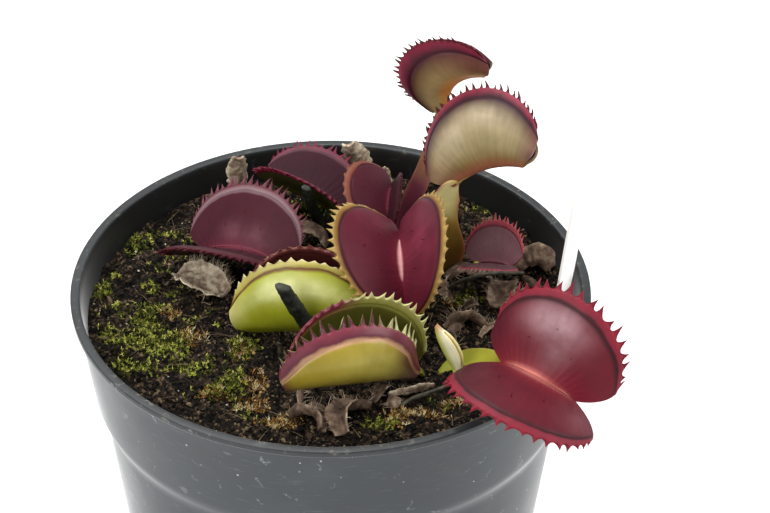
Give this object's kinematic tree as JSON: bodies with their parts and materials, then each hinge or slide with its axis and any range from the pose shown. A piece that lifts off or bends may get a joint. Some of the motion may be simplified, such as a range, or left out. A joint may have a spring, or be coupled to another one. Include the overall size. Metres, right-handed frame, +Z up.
{
  "type": "potted venus flytrap",
  "caption": "Venus flytrap with toothed red and green snap traps on flat stalks, growing in mossy peat in a round nursery pot with a blank plant label.",
  "frame": {"origin": "centre of the pot's flat underside", "axes": "+Z up; +Y away from the side that the picture is taken from, +X to its right"},
  "size_m": [0.0941, 0.0956, 0.109],
  "materials": {
    "pot_plastic": "satin",
    "peat_soil": "matte",
    "label_plastic": "satin",
    "red_trap_leaf": "satin",
    "green_trap_leaf": "satin",
    "olive_trap_leaf": "satin",
    "young_leaf": "satin",
    "dry_leaf": "matte",
    "old_stalk": "matte"
  },
  "bodies": {
    "root": {"pot": "pot_plastic", "soil": "peat_soil", "plant_label": "label_plastic", "leaf_right": "red_trap_leaf", "leaf_heart": "red_trap_leaf", "leaf_back_left": "red_trap_leaf", "leaf_back": "red_trap_leaf", "leaf_back_small": "red_trap_leaf", "leaf_top": "olive_trap_leaf", "leaf_tall": "olive_trap_leaf", "leaf_green": "green_trap_leaf", "leaf_front": "green_trap_leaf", "leaf_right_small": "red_trap_leaf", "leaf_bud": "young_leaf", "dry_leaf_round": "dry_leaf", "dry_leaf_flat": "dry_leaf", "dry_leaf_left": "dry_leaf", "dry_leaf_dome": "dry_leaf", "dry_leaf_upright": "dry_leaf", "dry_leaf_back_tall": "dry_leaf", "dry_leaf_back_low": "dry_leaf", "dry_leaf_front_left": "dry_leaf", "dry_leaf_front_curl": "dry_leaf", "dry_leaf_front_pale": "dry_leaf", "stump_front": "old_stalk", "stump_back": "old_stalk", "dry_stalk_thin": "old_stalk", "dry_stalk_right": "old_stalk", "dry_stalk_front": "old_stalk"}
  },
  "joints": []
}
